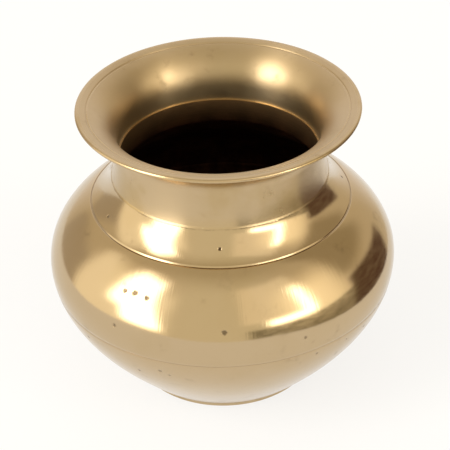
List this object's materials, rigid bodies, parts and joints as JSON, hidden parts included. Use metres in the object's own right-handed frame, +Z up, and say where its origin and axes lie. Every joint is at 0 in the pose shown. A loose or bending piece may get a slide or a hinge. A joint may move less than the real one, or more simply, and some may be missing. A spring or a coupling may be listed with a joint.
{
  "type": "brass kalash pot",
  "caption": "Round-bellied brass water pot with a flared mouth, straight throat, engraved shoulder line and low foot ring.",
  "frame": {"origin": "centre of the foot ring's base, on the surface that the pot stands on", "axes": "+Z up the axis of the pot, out of its mouth; X and Y are any two square directions, because every piece is a body of revolution"},
  "size_m": [0.1508, 0.1508, 0.13],
  "materials": {
    "polished_brass": "old hand-polished brass, lathe lines and light scratches",
    "foot_brass": "worn brass, rubbed bright on the base",
    "spelter": "filed brazing metal, redder than the brass"
  },
  "bodies": {
    "root": {"mouth": "polished_brass", "upper_body": "polished_brass", "lower_body": "polished_brass", "foot_ring": "foot_brass", "neck_braze": "spelter", "belly_braze": "spelter", "foot_braze": "spelter"}
  },
  "joints": []
}
